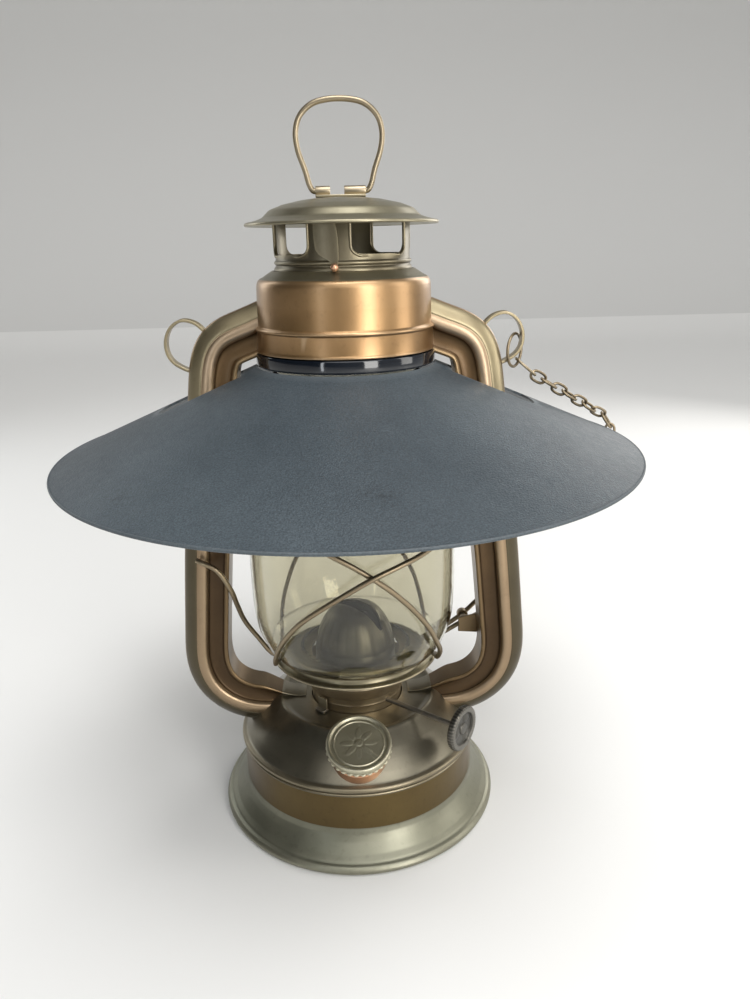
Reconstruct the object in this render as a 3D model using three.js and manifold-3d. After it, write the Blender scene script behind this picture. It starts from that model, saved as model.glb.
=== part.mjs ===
// Oil lamp: a cold-blast hurricane lantern with two air tubes, a wide shade and a globe lift.
// Millimetres, +Z up, front -Y, origin on the floor under the middle of the tank.
import * as THREE from 'three';
import { mergeVertices } from 'three/addons/utils/BufferGeometryUtils.js';
import Module from 'manifold-3d';

const wasm = await Module();
wasm.setup();

// ---- driving dimensions ---------------------------------------------------------------------
const ROUND = 36; // facets round the big turned pieces
const FIT = 0.3; // gap left between neighbouring pieces

const TANK = { wall: 53, foot: 63.3, seamZ: 33.4, ridgeR: 35.2, ridgeZ: 51.4, deckZ: 50 };
const FILLER = { centre: [0, -44.7, 52.2], tilt: 21, capR: 13.7, neckR: 11.9, depth: 13.5 };
const SOCKET = { footR: 20.65, rimR: 26, rimZ: 64.8 };
const WICK = { azimuth: -39, width: 12, thick: 1.8, shaftZ: 54, offset: 4.2, reach: 59.2 };
const PLATE = { z: 66, beadZ: 73.6, arcR: 38.9, arcC: 10.7, topR: 34.1, topC: 8.6, hole: 20.2 };
const GUARD_WIRE = 2.2;
const LEVER = { pivotX: 52, pivotZ: 77, nearY: 12.6, farY: 19.6, pin: 2.2 };
const HOOD = { bottomZ: 208.1, hole: 27.7, outer: 36 };
const SHADE = { topR: 36, topZ: 202.4, rimR: 118.8, rimZ: 166.3, slotFrom: 42.3, slotTo: 77, slot: 11 };
const CHIMNEY = { radius: 26.2, sleeveZ: 216, windowZ: 246, pillar: -11 };
const LOOP = { pivotZ: 267.4, wire: 2.2, half: 16.2, topZ: 299.5 };
const RING = { centre: [69.2, 0.7, 205.3], radius: 6.7, wire: 1.2, turn: 54 };
const CHAIN = { wire: 1.2, half: 4.35, width: 2.1, pitch: 6.9, run: 7, tail: 5 };

const PAINT = {
  bronze: ['#8a6a3c', 0.75, 0.38],
  copper: ['#9a6242', 0.8, 0.35],
  brown: ['#5a3f30', 0.7, 0.42],
  olive: ['#7d7a5c', 0.75, 0.4],
  slate: ['#4f5358', 0.7, 0.45],
  shade: ['#2d3237', 0.35, 0.6],
  black: ['#15181b', 0.4, 0.15],
  steel: ['#8f8c80', 0.85, 0.35],
  glass: ['#dfe8e4', 0.0, 0.05],
  wick: ['#e6dfcb', 0.0, 0.95],
  cork: ['#3a2b22', 0.0, 0.9],
};

// ---- solid helpers --------------------------------------------------------------------------
const rad = THREE.MathUtils.degToRad;
const vec = ([x, y, z]) => new THREE.Vector3(x, y, z);
const turned = (points) => points.map(([x, y, z]) => [-x, -y, z]);

class ControlCurve extends THREE.CatmullRomCurve3 {
  // sampled evenly between control points, so close points give a fine bend
  getPointAt(u, target) { return this.getPoint(u, target); }
  getTangentAt(u, target) { return this.getTangent(u, target); }
}

function solid(geometry) {
  const bare = new THREE.BufferGeometry();
  bare.setAttribute('position', geometry.attributes.position);
  if (geometry.index) bare.setIndex(geometry.index);
  const merged = mergeVertices(bare, 1e-3);
  const index = merged.index.array;
  const kept = [];
  for (let i = 0; i < index.length; i += 3) {
    const [a, b, c] = [index[i], index[i + 1], index[i + 2]];
    if (a !== b && b !== c && c !== a) kept.push(a, b, c);
  }
  return new wasm.Manifold(new wasm.Mesh({
    numProp: 3,
    vertProperties: new Float32Array(merged.attributes.position.array),
    triVerts: new Uint32Array(kept),
  }));
}

function lathe(profile, segments = ROUND) {
  const points = profile.map(([r, z]) => new THREE.Vector2(r, z));
  if (profile[0][0] > 0) points.push(points[0].clone());
  return solid(new THREE.LatheGeometry(points, segments).rotateX(Math.PI / 2));
}

const outline = (points) => new THREE.Shape(points.map(([x, y]) => new THREE.Vector2(x, y)));

function prism(points, z0, z1) {
  const shape = outline(points);
  const options = { depth: z1 - z0, bevelEnabled: false };
  return solid(new THREE.ExtrudeGeometry(shape, options).translate(0, 0, z0));
}

function box([x0, x1], [y0, y1], [z0, z1]) {
  return prism([[x0, y0], [x1, y0], [x1, y1], [x0, y1]], z0, z1);
}

function cylinder(radius, from, to, sides = 20) {
  const [a, b] = [vec(from), vec(to)];
  const axis = b.clone().sub(a);
  const geometry = new THREE.CylinderGeometry(radius, radius, axis.length(), sides);
  geometry.rotateX(Math.PI / 2);
  geometry.lookAt(axis);
  geometry.translate(...a.add(b).multiplyScalar(0.5).toArray());
  return solid(geometry);
}

function sweep(section, points, perSpan) {
  const path = new ControlCurve(points.map(vec), false, 'centripetal');
  const steps = perSpan * (points.length - 1);
  return solid(new THREE.ExtrudeGeometry(section, { steps, extrudePath: path, bevelEnabled: false }));
}

function polygon(radius, sides) {
  const corner = (i) => [radius * Math.cos((2 * Math.PI * i) / sides), radius * Math.sin((2 * Math.PI * i) / sides)];
  return outline(Array.from({ length: sides }, (_, i) => corner(i)));
}

const wire = (points, diameter, perSpan) => sweep(polygon(diameter / 2, 7), points, perSpan);

function closedWire(points, diameter, steps, sides = 6) {
  const path = new ControlCurve(points.map(vec), true, 'centripetal');
  return solid(new THREE.TubeGeometry(path, steps, diameter / 2, sides, true));
}

const mirrored = (half) => [...half, ...half.filter(([, v]) => v > 0).reverse().map(([u, v]) => [u, -v])];

// lens outline made of two arcs of one radius whose centres sit off the middle line
function lens(radius, offset, steps = 12) {
  const spread = Math.acos(offset / radius);
  const arc = (side) => Array.from({ length: steps }, (_, i) => {
    const a = spread - (2 * spread * i) / steps;
    return [-side * radius * Math.sin(a), side * (offset - radius * Math.cos(a))];
  });
  return [...arc(1), ...arc(-1)];
}

const part = new THREE.Group();
part.name = 'oil_lamp';

function add(name, body, paint, extra = {}) {
  const data = body.getMesh();
  const geometry = new THREE.BufferGeometry();
  geometry.setAttribute('position', new THREE.BufferAttribute(data.vertProperties, 3));
  geometry.setIndex(new THREE.BufferAttribute(data.triVerts, 1));
  geometry.computeVertexNormals();
  const [color, metalness, roughness] = PAINT[paint];
  const material = new THREE.MeshStandardMaterial({ color, metalness, roughness, ...extra });
  const mesh = new THREE.Mesh(geometry, material);
  mesh.name = name;
  part.add(mesh);
}

// ---- air tubes: pressed channel section, out of the hood, down the sides, back to the burner ---
const TUBE_PATH = [
  [29, 0, 219.2], [42, 0, 214], [46.2, 0, 212.6], [49.4, 0, 210.6], [51.6, 0, 207.7], [53, 0, 203.4],
  [54, 0, 198], [54.9, 0, 191], [58.4, 0, 160], [63, 0, 120], [65.9, 0, 88], [66.9, 0, 76], [66.8, 0, 70],
  [65.7, 0, 64.4], [63.6, 0, 59.4], [60.4, 0, 55.2], [56.4, 0, 51.9], [51.6, 0, 49.4], [46.4, 0, 48],
  [40, 0, 47.3], [23.5, 0, 47.2],
];
const TUBE_HALF = [
  [9.8, 3], [8.2, 6.4], [5.2, 7.9], [1.2, 7.9], [-1.1, 5.6], [-5, 5], [-8, 5.5], [-8.6, 6.5], [-9.8, 6.5],
];
const BORE_HALF = [[8.9, 2.9], [7.2, 5.8], [1, 6.8], [-1.8, 4.6], [-9, 4.3]];
const section = (half) => mirrored(half).map(([u, v]) => [v, -u]);
const tubeShape = outline(section(TUBE_HALF));
tubeShape.holes.push(outline(section(BORE_HALF)));
const bore = sweep(outline(section(BORE_HALF)), TUBE_PATH, 1);
const envelope = sweep(outline(section(TUBE_HALF.map(([u, v]) => [u * 1.03, v ? v + FIT : 0]))), TUBE_PATH, 1);

const tankSpace = lathe([
  [0, 30], [55, 30], [54.4, 33.2], [54.4, 35.2], [53.5, 36.2], [52.1, 36.9], [46.3, 43.3], [40.3, 48.3],
  [36.4, 51.4], [35.2, 51.8], [33.9, 51.2], [28, 50.6], [0, 50.4],
]);
const socketSpace = lathe([
  [0, 49], [21.1, 49], [21.9, 57.2], [22.9, 57.7], [26.4, 64.4], [26.4, 66], [0, 66],
]);
const hoodSpace = lathe([[0, 200], [36.5, 200], [36.4, 236], [0, 240]]);
const tube = sweep(tubeShape, TUBE_PATH, 1).subtract(tankSpace).subtract(socketSpace).subtract(hoodSpace);
add('right_air_tube', tube, 'bronze');
add('left_air_tube', tube.rotate([0, 0, 180]), 'bronze');

// ---- tank ---------------------------------------------------------------------------------------
add('tank_lower_shell', lathe([
  [60.6, 0], [61.8, 0], [63.1, 1], [TANK.foot, 2.4], [62.2, 3.9], [60.8, 4.4], [58.3, 6.6], [55.2, 10.4],
  [TANK.wall, 15.2], [TANK.wall, 31.8], [53.7, 32.2], [TANK.wall, 33], [52, 33.1], [52, 15.4], [54.2, 10.2],
  [57.4, 6], [60, 3.4], [61.9, 2.4], [61.4, 1.2],
]), 'olive');
add('tank_floor', lathe([
  [0, 8], [30, 8], [50, 6.4], [51.7, 7.6], [51.7, 17], [50.8, 17], [50.8, 7.8], [49.6, 7.4], [30, 9], [0, 9],
]), 'slate');

const tilt = rad(FILLER.tilt);
const onFiller = (body) => body.rotate([FILLER.tilt, 0, 0]).translate(FILLER.centre);
const neckSpace = onFiller(cylinder(FILLER.neckR + 0.6, [0, 0, -FILLER.depth - 1], [0, 0, -2], 32));
add('tank_upper_shell', lathe([
  [50.7, 30], [51.7, 30], [51.7, TANK.seamZ + 0.1], [53.7, TANK.seamZ + 0.1], [54.1, 35], [51.8, 36.4],
  [46, 42.8], [40, 47.8], [36.2, 50.9], [TANK.ridgeR, TANK.ridgeZ], [34, 50.8], [21, TANK.deckZ], [21, 49.1],
  [35.2, 50.1], [39.3, 46.9], [45.2, 42], [50.7, 35.9],
]).subtract(neckSpace), 'slate');

// ---- filler neck, gasket and cap ------------------------------------------------------------------
add('filler_neck', onFiller(lathe([
  [11, -FILLER.depth], [FILLER.neckR, -FILLER.depth], [FILLER.neckR, -4.2], [12.2, -3.6], [FILLER.neckR, -2.9],
  [11, -2.9],
], 28)), 'copper');
add('cap_gasket', onFiller(lathe([[9.6, -2.6], [12, -2.6], [12, -1.8], [9.6, -1.8]], 24)), 'cork');
add('fuel_cap', onFiller(lathe([
  [0, -1.5], [12.6, -1.5], [12.6, -4], [13.9, -4], [FILLER.capR, -2.8], [FILLER.capR, -0.6], [13.1, 0], [12.3, 0],
  [11.8, -0.7], [0, -0.7],
], 32)), 'olive');

// ---- burner: socket, base, perforated cone, flat wick and its winder --------------------------------
const azimuth = rad(WICK.azimuth);
const along = [Math.cos(azimuth), Math.sin(azimuth)];
const onShaft = (s) => [
  along[0] * s + along[1] * WICK.offset, along[1] * s - along[0] * WICK.offset, WICK.shaftZ,
];
const shaftHole = cylinder(1.75, onShaft(8), onShaft(34), 12);
const bothBores = bore.add(bore.rotate([0, 0, 180]));

add('burner_socket', lathe([
  [19.7, 46.5], [20.5, 46.5], [SOCKET.footR, 51], [21.5, 57.5], [22.4, 58.1], [SOCKET.rimR, SOCKET.rimZ],
  [25.2, 65.1], [21.3, 58.6], [19.8, 51],
]).subtract(shaftHole).subtract(bothBores), 'slate');
const wickHole = (w, t, z0, z1) => box([-w / 2, w / 2], [-t / 2, t / 2], [z0, z1]).rotate([0, 0, WICK.azimuth]);
add('burner_base', lathe([[0, 48.6], [19.2, 48.6], [19.2, 66], [18.4, 66], [18.4, 49.5], [0, 49.5]])
  .subtract(wickHole(16, 5, 47, 51)).subtract(shaftHole), 'olive');
add('burner_cone', lathe([
  [18.1, 66.5], [18.8, 66.5], [18.3, 70], [18.3, 73.8], [16.8, 76.4], [14, 84], [11.4, 90.5], [9.3, 93.2],
  [0, 94.4], [0, 93.7], [8.9, 92.5], [10.8, 90], [13.4, 83.6], [16.2, 76], [17.6, 73.4],
], 32).subtract(
  box([-9, 14], [-1.8, 1.8], [86, 96]).rotate([0, 0, WICK.azimuth]),
), 'slate');
const toothSlot = (s) => box([s - 1.3, s + 1.3], [-4, -0.9], [WICK.shaftZ - 3.6, WICK.shaftZ + 3.6])
  .rotate([0, 0, WICK.azimuth]);
add('wick_tube', wickHole(15, 4.4, 46, 88).subtract(wickHole(13, 2.7, 45, 89))
  .subtract(toothSlot(-3.5)).subtract(toothSlot(3.5)), 'bronze');
add('wick', wickHole(WICK.width, WICK.thick, 16, 91.5), 'wick');
add('wick_shaft', cylinder(1.3, onShaft(-9), onShaft(WICK.reach - 1.9), 12), 'brown');
[['wick_sprocket_inner', -3.5], ['wick_sprocket_outer', 3.5]].forEach(([name, s]) => {
  const disc = cylinder(3, onShaft(s - 0.8), onShaft(s + 0.8), 10);
  add(name, disc.subtract(cylinder(1.6, onShaft(s - 2), onShaft(s + 2), 10)), 'bronze');
});
const wheelProfile = [
  [0, -1.5], [3, -1.5], [3, -0.9], [7, -0.9], [7, -1.5], [9.4, -1.5], [9.8, 0], [9.4, 1.5], [7, 1.5], [7, 0.5],
  [2.4, 0.5], [2, 1.3], [0, 1.3],
];
const lobe = (i) => cylinder(1.9, [0, 0, -0.5], [0, 0, 1.1], 8)
  .translate([4.7 * Math.cos(rad(60 * i)), 4.7 * Math.sin(rad(60 * i)), 0]);
const wheel = [0, 1, 2, 3, 4, 5].reduce((body, i) => body.add(lobe(i)), lathe(wheelProfile, 24));
add('wick_wheel', wheel.rotate([0, 90, WICK.azimuth]).translate(onShaft(WICK.reach)), 'slate');
add('burner_clip', box([-2.6, 2.6], [-25.6, -22.2], [50.6, 51.6])
  .add(box([-2.6, 2.6], [-23.2, -22.2], [50.6, 56.5])).rotate([0, 0, -42]), 'steel');

// ---- globe carrier: plate, globe, crossed guard wires and the guide wire ------------------------------
const beadLens = (shrink) => lens(PLATE.topR - shrink, PLATE.topC);
add('globe_plate', prism(lens(PLATE.arcR, PLATE.arcC), PLATE.z, PLATE.z + 1.2)
  .add(prism(beadLens(0), PLATE.z + 0.4, PLATE.beadZ))
  .subtract(prism(beadLens(1), PLATE.z - 1, PLATE.z + 5))
  .subtract(prism(beadLens(1.7), PLATE.z + 6.2, PLATE.beadZ + 1))
  .subtract(cylinder(PLATE.hole, [0, 0, 60], [0, 0, 80], ROUND)), 'slate');
add('globe', lathe([
  [25.2, 74], [33.6, 75], [38.4, 77.6], [41.2, 83], [44.2, 92], [44.9, 106], [44.4, 136], [41.8, 160],
  [37, 178], [32.4, 190], [30, 200], [28.4, 200], [30.8, 189.6], [35.4, 177.4], [40.2, 159.6], [42.8, 136],
  [43.3, 106], [41.4, 89], [37.2, 79], [33, 76.5], [25.2, 75.5],
]), 'glass', { transparent: true, opacity: 0.35 });

const guardA = [
  [-35.6, -3.2, 68.7], [-35.9, -6.4, 70.4], [-35.4, -13, 72.4], [-34.6, -21, 77], [-33.4, -29.2, 84], [-30.6, -36.2, 93],
  [-22.4, -43.4, 105.8], [-13.6, -47.3, 113.8], [-2.4, -49.5, 121.6], [7, -49.4, 127], [18, -46, 130.8],
  [27.4, -41, 133.6], [37, -34, 138.5], [45.5, -24, 146], [51, -13.5, 154], [54, -10.2, 159],
];
const guardB = [
  [35.6, -3.2, 68.7], [36.1, -6.4, 70.4], [36, -13, 72.6], [36.2, -20.2, 78], [35.6, -27.6, 84.6], [33.6, -33.2, 91],
  [30, -37, 99.6], [22.9, -41.8, 110.5], [15, -44.8, 119.4], [7.1, -46.5, 126.3], [0, -47, 131.4],
  [-8, -46.9, 136.2], [-21, -43.5, 143], [-34, -35.6, 149], [-45, -24, 153.5], [-51.5, -13, 157.5],
  [-54, -10.2, 160],
];
add('front_guard_a', wire(guardA, GUARD_WIRE, 2), 'brown');
add('front_guard_b', wire(guardB, GUARD_WIRE, 2), 'brown');
add('rear_guard_a', wire(turned(guardA), GUARD_WIRE, 2), 'brown');
add('rear_guard_b', wire(turned(guardB), GUARD_WIRE, 2), 'brown');
add('left_guide_wire', wire([
  [-35.9, 0, 69], [-38.9, 0, 71], [-43.4, -0.6, 78], [-49, -2.4, 88], [-51.4, -6, 98], [-53, -9.8, 107],
  [-58, -11.4, 117], [-63.5, -11.2, 120.5], [-66.4, -9.8, 121.4],
], GUARD_WIRE, 2), 'brown');

// ---- globe lift lever: a closed wire fork on a pin behind the right tube -------------------------------
const atPivot = (y) => [LEVER.pivotX, y, LEVER.pivotZ];
const pinBore = cylinder(LEVER.pin / 2 + 0.25, atPivot(5), atPivot(30), 12);
const barrel = (y) => cylinder(2.6, atPivot(y - 1.6), atPivot(y + 1.6), 14);
add('lift_lever', closedWire([
  [25.4, 13.2, 64.2], [32.6, LEVER.nearY, 64.4], [36.4, LEVER.nearY, 67.4], [LEVER.pivotX, LEVER.nearY, LEVER.pivotZ],
  [64, 12.4, 83.2], [68.6, 14.4, 85.8], [69.6, 18.6, 87.6], [67, 23.4, 88],
  [60, 22.2, 83.2], [LEVER.pivotX, LEVER.farY, LEVER.pivotZ], [36.4, 17, 67.4], [32.6, 16.2, 64.4], [26.2, 15.2, 64.2],
], GUARD_WIRE, 26, 6).add(barrel(LEVER.nearY)).add(barrel(LEVER.farY)).subtract(pinBore), 'brown');
add('lever_pin', cylinder(LEVER.pin / 2, atPivot(9.9), atPivot(22.4), 12), 'steel');
add('lever_bracket', prism([[48.6, 73.4], [64, 72], [66, 80], [56, 82], [48.6, 80.6]], -9.5, -8.4)
  .rotate([90, 0, 0]).subtract(envelope), 'bronze');

// ---- hood, shade and ears ---------------------------------------------------------------------------
add('hood', lathe([
  [34.6, HOOD.bottomZ], [35.7, HOOD.bottomZ], [35.4, 216.3], [HOOD.outer, 217.2], [34.9, 218.2], [33.9, 233],
  [33.2, 235.3], [32, 236.2], [HOOD.hole, 238.9], [HOOD.hole, 237.9], [31.8, 235.2], [33, 232.8], [34, 218],
]).subtract(bothBores), 'copper');
add('shade_collar', lathe([
  [33.4, 202.7], [36, 202.7], [36.2, 205.2], [36, 207.7], [34.1, 207.7], [34.1, 210.5], [33.4, 210.5],
]), 'black');
const slot = box([SHADE.slotFrom, SHADE.slotTo], [-SHADE.slot, SHADE.slot], [150, 210]);
add('shade', lathe([
  [SHADE.topR, SHADE.topZ - 1], [SHADE.rimR - 0.7, SHADE.rimZ - 1.1], [SHADE.rimR + 0.2, SHADE.rimZ - 1],
  [SHADE.rimR + 0.3, SHADE.rimZ - 0.1], [SHADE.rimR - 0.4, SHADE.rimZ + 0.4], [SHADE.topR, SHADE.topZ],
], 56).subtract(slot).subtract(slot.rotate([0, 0, 180])), 'shade');

const strip = outline([[-2.4, -0.6], [2.4, -0.6], [2.4, 0.6], [-2.4, 0.6]]);
const ear = sweep(strip, [
  [52.5, 0, 210.5], [56.3, 0, 216.4], [60, 0, 219.6], [65, 0, 220.6], [69.4, 0, 218], [71.8, 0, 213],
  [71.6, 0, 207.8], [69.7, 0, 204.4], [66.4, 0, 202], [61, 0, 199.6],
], 2).subtract(envelope);
add('right_ear', ear, 'brown');
add('left_ear', ear.rotate([0, 0, 180]), 'brown');

// ---- chimney, cap and lifting loop --------------------------------------------------------------------
const windowShape = [[-12.1, 6], [-12.1, 3.5], [-11, 1], [-8.5, 0], [8.5, 0], [11, 1], [12.1, 3.5], [12.1, 10.5],
  [-12.1, 10.5]];
const cutWindow = (body, i) => body.subtract(
  prism(windowShape, 15, 32).rotate([90, 0, 0]).translate([0, 0, CHIMNEY.windowZ])
    .rotate([0, 0, CHIMNEY.pillar + 45 + 90 * i]),
);
const flue = lathe([
  [25.4, CHIMNEY.sleeveZ], [26.4, CHIMNEY.sleeveZ], [26.5, 237.6], [27.1, 238.8], [CHIMNEY.radius, 240.6],
  [26.9, 241.6], [CHIMNEY.radius, 242.7], [CHIMNEY.radius, 259.9], [25.4, 259.9],
]);
add('chimney', [0, 1, 2, 3].reduce(cutWindow, flue), 'olive');
add('chimney_cap', lathe([
  [0, 264.3], [12, 264], [20, 262.7], [27.4, 260.1], [30.2, 257.2], [36.4, 255.3], [37, 254.9], [37.6, 255.6],
  [37, 256.4], [30.8, 258.2], [27.8, 261], [20, 263.6], [10, 264.9], [0, 265.1],
]), 'olive');
const seamArc = (r, a) => [r * Math.sin(rad(a)), -r * Math.cos(rad(a))];
add('chimney_seam', prism([
  ...[-22, -16, -10, -5].map((a) => seamArc(27, a)), ...[-5, -10, -16, -22].map((a) => seamArc(26.45, a)),
], 243.4, 258.6), 'olive');
add('chimney_rivet', lathe([[0, 27.4], [0.9, 27.4], [0.9, 28.6], [1.5, 29.4], [1.5, 30.4], [0.9, 31.2], [0, 31.5]], 12)
  .rotate([90, 0, -5.9]).translate([0, 0, 240.9]), 'steel');

const knuckle = ([x0, x1]) => cylinder(2, [x0, 0, LOOP.pivotZ], [x1, 0, LOOP.pivotZ], 16);
add('loop_bracket', box([-9.6, 9.6], [-3.6, 3.6], [265.4, 266.3]).add(knuckle([-9.6, -4])).add(knuckle([1.4, 9.6]))
  .subtract(cylinder(LOOP.wire / 2 + 0.35, [-12, 0, LOOP.pivotZ], [12, 0, LOOP.pivotZ], 14)), 'steel');
const halfLoop = [
  [-4.6, 0, LOOP.pivotZ], [-8.6, 0, LOOP.pivotZ], [-10.4, 0, LOOP.pivotZ + 0.3], [-11.6, 0, LOOP.pivotZ + 2],
  [-13.2, 0, 275], [-15.6, 0, 282], [-LOOP.half, 0, 288], [-14.6, 0, 293.4], [-10, 0, 297.6], [-4, 0, LOOP.topZ - 0.3],
];
add('lifting_loop', wire([...halfLoop, ...halfLoop.map(([x, y, z]) => [-x, y, z]).reverse()], LOOP.wire, 1), 'steel');

// ---- shade chain: ring in the ear, long first link, straight run to the rim, hanging tail --------------
const CHAIN_SIDE = [-0.47, 0.88, 0]; // level direction across the line of the chain
function link(from, to, width, diameter, turn, blunt = 0.8) {
  const [a, b] = [vec(from), vec(to)];
  const half = a.distanceTo(b) / 2;
  const shape = Array.from({ length: 8 }, (_, i) => {
    const [c, s] = [Math.cos((Math.PI * i) / 4), Math.sin((Math.PI * i) / 4)];
    return [half * Math.sign(c) * Math.abs(c) ** blunt, width * Math.sign(s) * Math.abs(s) ** blunt, 0];
  });
  const dir = b.clone().sub(a).normalize();
  const side = vec(CHAIN_SIDE).addScaledVector(dir, -dir.dot(vec(CHAIN_SIDE))).normalize();
  side.applyAxisAngle(dir, rad(turn));
  const frame = new THREE.Matrix4().makeBasis(dir, side, dir.clone().cross(side));
  frame.setPosition(a.add(b).multiplyScalar(0.5));
  const placed = shape.map((p) => vec(p).applyMatrix4(frame).toArray());
  return closedWire(placed, diameter, 12, 5);
}

const ringPoint = (a) => [
  RING.centre[0] + RING.radius * Math.cos(a) * Math.cos(rad(RING.turn)),
  RING.centre[1] + RING.radius * Math.cos(a) * Math.sin(rad(RING.turn)), RING.centre[2] + RING.radius * Math.sin(a),
];
add('chain_ring', closedWire(Array.from({ length: 12 }, (_, i) => ringPoint((Math.PI * i) / 6)), RING.wire, 20), 'brown');
add('chain_long_link', link([70.7, 3.6, 201.3], [79.1, 5.1, 194.1], 2.8, 1.2, 20), 'steel');

// chain links follow a broken line; each link reaches past its pitch to catch its neighbour
const CHAIN_LINE = { start: [78.2, 4.6, 194.6], bend: [115.7, 24.6, 172], rim: [119.7, 25.4, 166.5] };
function chainLink(name, from, to, turn) {
  const [a, b] = [vec(from), vec(to)];
  const mid = a.clone().add(b).multiplyScalar(0.5);
  const reach = b.sub(a).normalize().multiplyScalar(CHAIN.half);
  const ends = [mid.clone().sub(reach).toArray(), mid.clone().add(reach).toArray()];
  add(name, link(...ends, CHAIN.width, CHAIN.wire, turn), 'brown');
}
const between = (a, b, t) => a.map((v, i) => v + (b[i] - v) * t);
for (let i = 0; i < CHAIN.run; i += 1) {
  const [a, b] = [i, i + 1].map((k) => between(CHAIN_LINE.start, CHAIN_LINE.bend, k / CHAIN.run));
  chainLink(`chain_link_${i + 1}`, a, b, -75 + 95 * i);
}
chainLink('chain_tail_1', CHAIN_LINE.bend, CHAIN_LINE.rim, 45);
const hang = (k) => [CHAIN_LINE.rim[0], CHAIN_LINE.rim[1], CHAIN_LINE.rim[2] - CHAIN.pitch * k];
for (let i = 1; i < CHAIN.tail; i += 1) chainLink(`chain_tail_${i + 1}`, hang(i - 1), hang(i), i % 2 ? -45 : 45);

export default part;
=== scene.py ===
"""Looks of the oil lamp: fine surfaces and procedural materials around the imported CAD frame."""
import math

import bmesh
import bpy
import numpy as np
from mathutils import Matrix, Vector


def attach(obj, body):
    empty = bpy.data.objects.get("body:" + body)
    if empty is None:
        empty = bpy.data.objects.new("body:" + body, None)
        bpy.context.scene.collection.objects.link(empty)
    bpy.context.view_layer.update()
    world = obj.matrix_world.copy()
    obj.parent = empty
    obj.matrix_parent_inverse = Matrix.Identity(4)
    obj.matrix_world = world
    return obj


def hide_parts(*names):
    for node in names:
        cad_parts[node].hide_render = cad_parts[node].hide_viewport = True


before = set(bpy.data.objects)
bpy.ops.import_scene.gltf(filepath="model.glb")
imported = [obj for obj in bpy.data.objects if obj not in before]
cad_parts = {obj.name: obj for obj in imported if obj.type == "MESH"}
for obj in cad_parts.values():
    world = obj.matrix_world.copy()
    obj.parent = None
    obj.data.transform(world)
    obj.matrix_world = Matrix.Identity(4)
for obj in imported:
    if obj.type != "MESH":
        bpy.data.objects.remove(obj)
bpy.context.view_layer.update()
MM = 0.001
ROUND = 128  # facets round the big turned pieces
SHARP = 32  # creases of more degrees than this stay crisp
UPRIGHT = Matrix.Rotation(math.radians(90), 4, "X")  # stands a flat outline up, to face the front
SHADE_SLOPE = 0.435  # fall of the shade per millimetre of radius


# ---- camera and light ---------------------------------------------------------------------------
def camera():
    data = bpy.data.cameras.new("camera")
    data.lens = 28.33
    data.sensor_width = 36
    data.clip_start = 0.01
    cam = bpy.data.objects.new("camera", data)
    bpy.context.scene.collection.objects.link(cam)
    cam.rotation_mode = "QUATERNION"
    yaw, pitch, roll = math.radians(1.86), math.radians(18.17), math.radians(-1.3)
    look = Vector((math.sin(yaw) * math.cos(pitch), math.cos(yaw) * math.cos(pitch), -math.sin(pitch)))
    cam.location = Vector((0, -322.74, 248.85)) * MM
    turn = look.to_track_quat("-Z", "Y")
    cam.rotation_quaternion = turn @ Matrix.Rotation(roll, 4, "Z").to_quaternion()
    bpy.context.scene.camera = cam


def area_light(name, place, target, size, power, colour=(1, 1, 1)):
    data = bpy.data.lights.new(name, "AREA")
    data.shape = "RECTANGLE"
    data.size, data.size_y = size
    data.energy = power
    data.color = colour
    lamp = bpy.data.objects.new(name, data)
    bpy.context.scene.collection.objects.link(lamp)
    lamp.location = place
    lamp.rotation_euler = (Vector(target) - Vector(place)).to_track_quat("-Z", "Y").to_euler()


def studio():
    """Soft studio: dim to the left, a broad bright window to the right, and narrow strips for the glass."""
    world = bpy.data.worlds.new("studio")
    bpy.context.scene.world = world
    world.use_nodes = True
    nodes, links = world.node_tree.nodes, world.node_tree.links
    sky = nodes["Background"]
    sky.inputs["Strength"].default_value = 0.55
    place = nodes.new("ShaderNodeTexCoord")
    split = nodes.new("ShaderNodeSeparateXYZ")
    ramp = nodes.new("ShaderNodeValToRGB")
    ends = ramp.color_ramp.elements
    ends[0].position, ends[0].color = 0.2, (0.045, 0.045, 0.04, 1)
    ends[1].position, ends[1].color = 0.95, (0.62, 0.60, 0.56, 1)
    shift = nodes.new("ShaderNodeMath")
    shift.operation = "MULTIPLY_ADD"
    shift.inputs[1].default_value = 0.5
    shift.inputs[2].default_value = 0.5
    links.new(place.outputs["Generated"], split.inputs[0])
    links.new(split.outputs["X"], shift.inputs[0])
    links.new(shift.outputs[0], ramp.inputs[0])
    links.new(ramp.outputs[0], sky.inputs["Color"])
    middle = (0, 0, 0.17)
    area_light("window_right", (0.5, -0.85, 0.36), middle, (0.30, 0.7), 5.2, (1.0, 0.98, 0.95))
    area_light("strip_left", (-0.42, -0.75, 0.26), middle, (0.05, 0.8), 0.8, (0.92, 0.96, 1.0))
    area_light("side_right", (0.9, -0.15, 0.4), middle, (0.3, 0.7), 2.2, (1.0, 0.97, 0.92))
    area_light("top", (0.1, -0.2, 1.1), middle, (0.6, 0.6), 5)
    area_light("back_right", (0.6, 0.6, 0.5), middle, (0.4, 0.6), 2.5, (1, 0.98, 0.95))
    area_light("back_left", (-0.7, 0.5, 0.5), middle, (0.3, 0.6), 1.2, (0.95, 0.98, 1.0))
    sun = bpy.data.lights.new("sky_light", "SUN")
    sun.energy, sun.angle = 1.35, math.radians(60)
    lamp = bpy.data.objects.new("sky_light", sun)
    lamp.rotation_euler = (math.radians(38), 0, math.radians(12))
    bpy.context.scene.collection.objects.link(lamp)
    bpy.context.scene.view_settings.view_transform = "Standard"


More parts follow.
